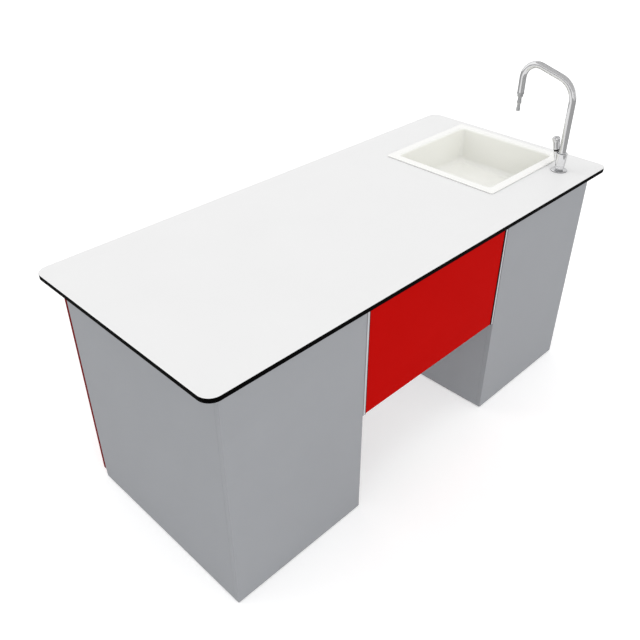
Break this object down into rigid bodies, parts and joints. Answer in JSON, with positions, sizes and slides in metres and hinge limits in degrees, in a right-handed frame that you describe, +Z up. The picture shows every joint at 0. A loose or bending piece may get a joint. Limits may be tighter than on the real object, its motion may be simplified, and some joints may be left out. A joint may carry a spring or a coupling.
{
  "type": "laboratory table",
  "caption": "Teacher's laboratory table: compact laminate top on door pedestals, with a modesty panel, a drop-in sink with trap and a swan-neck hose tap.",
  "frame": {"origin": "on the floor under the middle of the worktop", "axes": "+X along the worktop to the sink end, +Y from the class side to the door side, +Z up"},
  "size_m": [1.65, 0.712, 1.0687],
  "materials": {
    "worktop_laminate": "satin white compact laminate with a black core edge",
    "grey_board": "matt grey melamine-faced board",
    "red_board": "satin red compact board",
    "grey_metal": "grey powder coat",
    "sink_white": "glossy warm white moulding",
    "white_plastic": "moulded white plastic",
    "black_plastic": "moulded black plastic",
    "rubber": "black rubber",
    "chrome": "polished chrome plate",
    "brass": "turned brass",
    "steel": "satin nickel-plated steel"
  },
  "bodies": {
    "table": {"worktop": "worktop_laminate", "sink": "sink_white", "sink_seal": "white_plastic", "waste_flange": "steel", "waste_grate": "steel", "waste_nut": "white_plastic", "trap_dip_tube": "white_plastic", "trap_nut": "white_plastic", "bottle_trap": "white_plastic", "trap_outlet": "white_plastic", "tap_flange": "chrome", "tap_neck_ring": "rubber", "tap_shank": "brass", "tap_washer": "rubber", "tap_nut": "brass", "tap_body": "chrome", "tap_headwork": "steel", "modesty_panel": "red_board", "modesty_profile_left": "grey_metal", "modesty_profile_right": "grey_metal", "left_outer_side": "grey_board", "left_inner_side": "grey_board", "left_class_panel": "grey_board", "left_bottom": "grey_board", "left_class_rail": "grey_board", "left_door_rail": "grey_board", "left_outer_skid": "black_plastic", "left_inner_skid": "black_plastic", "left_shelf": "grey_board", "left_outer_batten": "grey_board", "left_inner_batten": "grey_board", "left_lower_hinge_arm": "steel", "left_upper_hinge_arm": "steel", "right_outer_side": "grey_board", "right_inner_side": "grey_board", "right_class_panel": "grey_board", "right_bottom": "grey_board", "right_class_rail": "grey_board", "right_door_rail": "grey_board", "right_outer_skid": "black_plastic", "right_inner_skid": "black_plastic", "right_lower_hinge_arm": "steel", "right_upper_hinge_arm": "steel"},
    "left_door": {"left_door": "red_board", "left_handle": "steel", "left_lower_hinge_cup": "steel", "left_upper_hinge_cup": "steel"},
    "right_door": {"right_door": "red_board", "right_handle": "steel", "right_lower_hinge_cup": "steel", "right_upper_hinge_cup": "steel"},
    "left_hinge_links": {"left_lower_hinge_link": "steel", "left_upper_hinge_link": "steel"},
    "right_hinge_links": {"right_lower_hinge_link": "steel", "right_upper_hinge_link": "steel"},
    "spout": {"tap_spout": "chrome", "tap_nozzle": "chrome"},
    "knob": {"tap_knob": "chrome", "tap_spindle": "steel"}
  },
  "joints": [
    {"name": "left_door_swing", "type": "hinge", "parent": "table", "child": "left_door", "pos_m": [-0.769, 0.3245, 0.38], "axis": [0, 0, 1], "range_deg": [0, 95]},
    {"name": "right_door_swing", "type": "hinge", "parent": "table", "child": "right_door", "pos_m": [0.769, 0.3245, 0.38], "axis": [0, 0, -1], "range_deg": [0, 95]},
    {"name": "left_link_swing", "type": "hinge", "parent": "table", "child": "left_hinge_links", "pos_m": [-0.744, 0.32, 0.38], "axis": [0, 0, -1], "range_deg": [0, 26]},
    {"name": "right_link_swing", "type": "hinge", "parent": "table", "child": "right_hinge_links", "pos_m": [0.744, 0.32, 0.38], "axis": [0, 0, 1], "range_deg": [0, 26]},
    {"name": "spout_swivel", "type": "hinge", "parent": "table", "child": "spout", "pos_m": [0.681, -0.2592, 0.809], "axis": [0, 0, 1], "continuous": true},
    {"name": "knob_turn", "type": "hinge", "parent": "table", "child": "knob", "pos_m": [0.681, -0.237, 0.8158], "axis": [0, 0.2079, 0.9781], "range_deg": [0, 180]}
  ],
  "couplings": [
    {"joint": "left_link_swing", "follows": "left_door_swing", "ratio": 0.26},
    {"joint": "right_link_swing", "follows": "right_door_swing", "ratio": 0.26}
  ]
}
